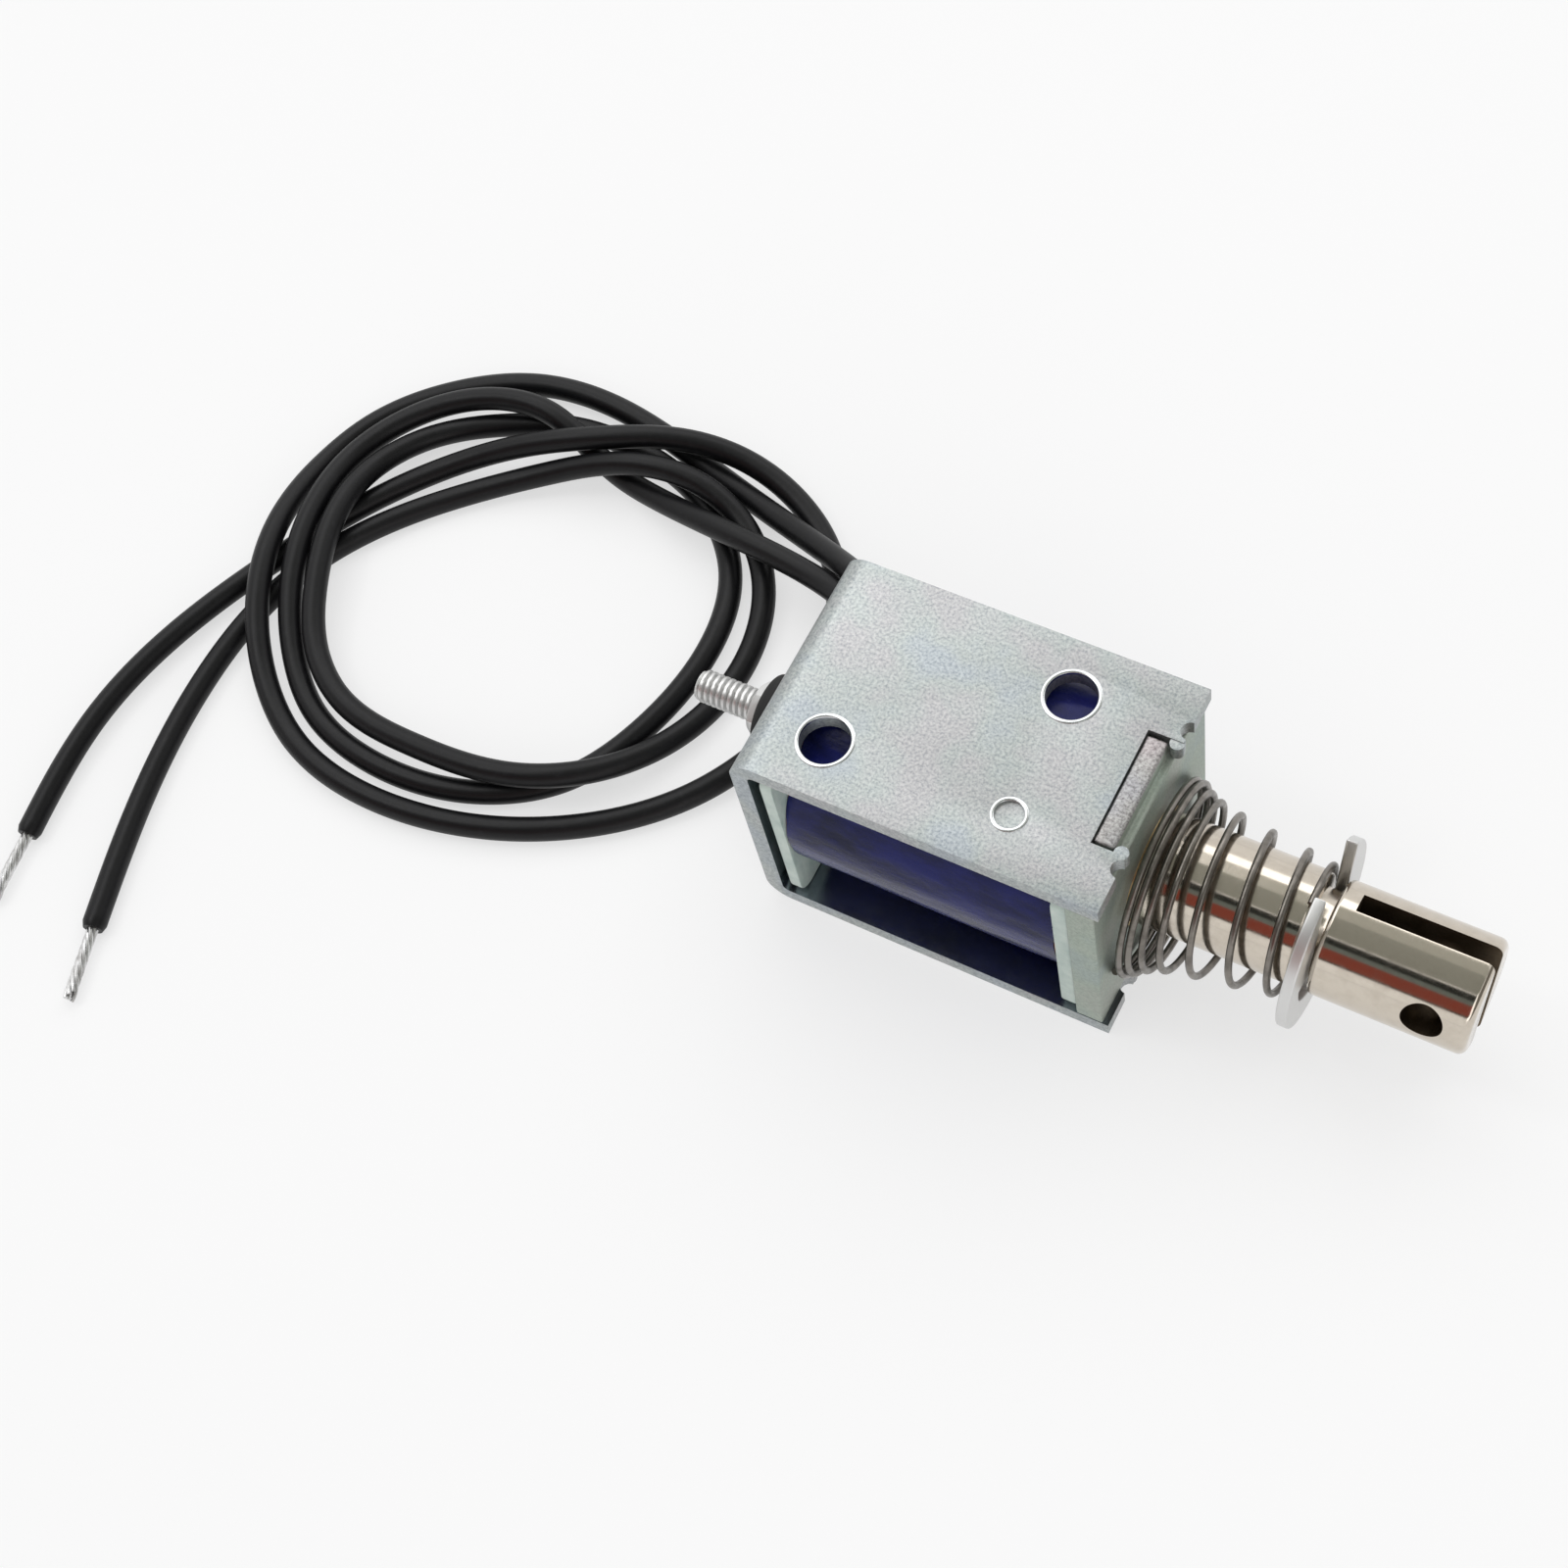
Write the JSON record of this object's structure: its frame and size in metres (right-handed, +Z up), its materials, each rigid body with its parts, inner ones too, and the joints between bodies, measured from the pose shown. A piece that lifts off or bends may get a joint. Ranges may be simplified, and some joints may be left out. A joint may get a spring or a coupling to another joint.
{
  "type": "push pull solenoid",
  "caption": "Open-frame push-pull solenoid with a clevis plunger, conical return spring, rear push rod and loose leads.",
  "frame": {"origin": "on the underside of the lower mounting plate, below the plunger's axis, halfway along the part's length without the leads", "axes": "+X along the plunger axis, out of the front; +Z up through both mounting plates; +Y to the side where the leads leave the coil"},
  "size_m": [0.1574, 0.0938, 0.03],
  "materials": {
    "zinc_steel": "bright zinc plated, finely mottled",
    "pole_steel": "zinc plated, rough",
    "bobbin_plastic": "milky moulded nylon",
    "copper_winding": "enamelled copper wire",
    "coil_tape": "navy polyester tape, glossy and slightly wrinkled",
    "fibre_sheet": "dark fibre sheet",
    "sleeve_brass": "drawn brass",
    "core_iron": "turned, plated iron",
    "tinned_copper": "tinned strands",
    "lead_insulation": "satin black cable insulation",
    "spring_wire": "dark drawn spring wire",
    "plunger_nickel": "bright nickel plated",
    "residual_nylon": "thin plastic disc",
    "rod_steel": "plated thread",
    "nut_steel": "nickel plated",
    "washer_steel": "plated",
    "stop_rubber": "black rubber",
    "clip_steel": "stamped and plated spring steel"
  },
  "bodies": {
    "coil_and_frame": {"frame_bracket": "zinc_steel", "pole_plate": "pole_steel", "bobbin": "bobbin_plastic", "coil_winding": "copper_winding", "tape_wrap": "coil_tape", "fibre_washer": "fibre_sheet", "guide_sleeve": "sleeve_brass", "fixed_core": "core_iron", "lead_pad": "coil_tape", "lead_joint_a": "tinned_copper", "lead_joint_b": "tinned_copper", "lead_wire_a": "lead_insulation", "lead_wire_b": "lead_insulation", "lead_end_a": "tinned_copper", "lead_end_b": "tinned_copper", "return_spring": "spring_wire"},
    "plunger_assembly": {"plunger": "plunger_nickel", "residual_disc": "residual_nylon", "push_rod": "rod_steel", "lock_nut": "nut_steel", "flat_washer": "washer_steel", "rubber_washer": "stop_rubber", "e_clip": "clip_steel"}
  },
  "joints": [
    {"name": "plunger_pull", "type": "slide", "parent": "coil_and_frame", "child": "plunger_assembly", "axis": [-1, 0, 0], "range_m": [0, 0.01], "stiffness_N_per_m": 250, "springref_m": -0.008, "deforming": ["return_spring"]}
  ]
}
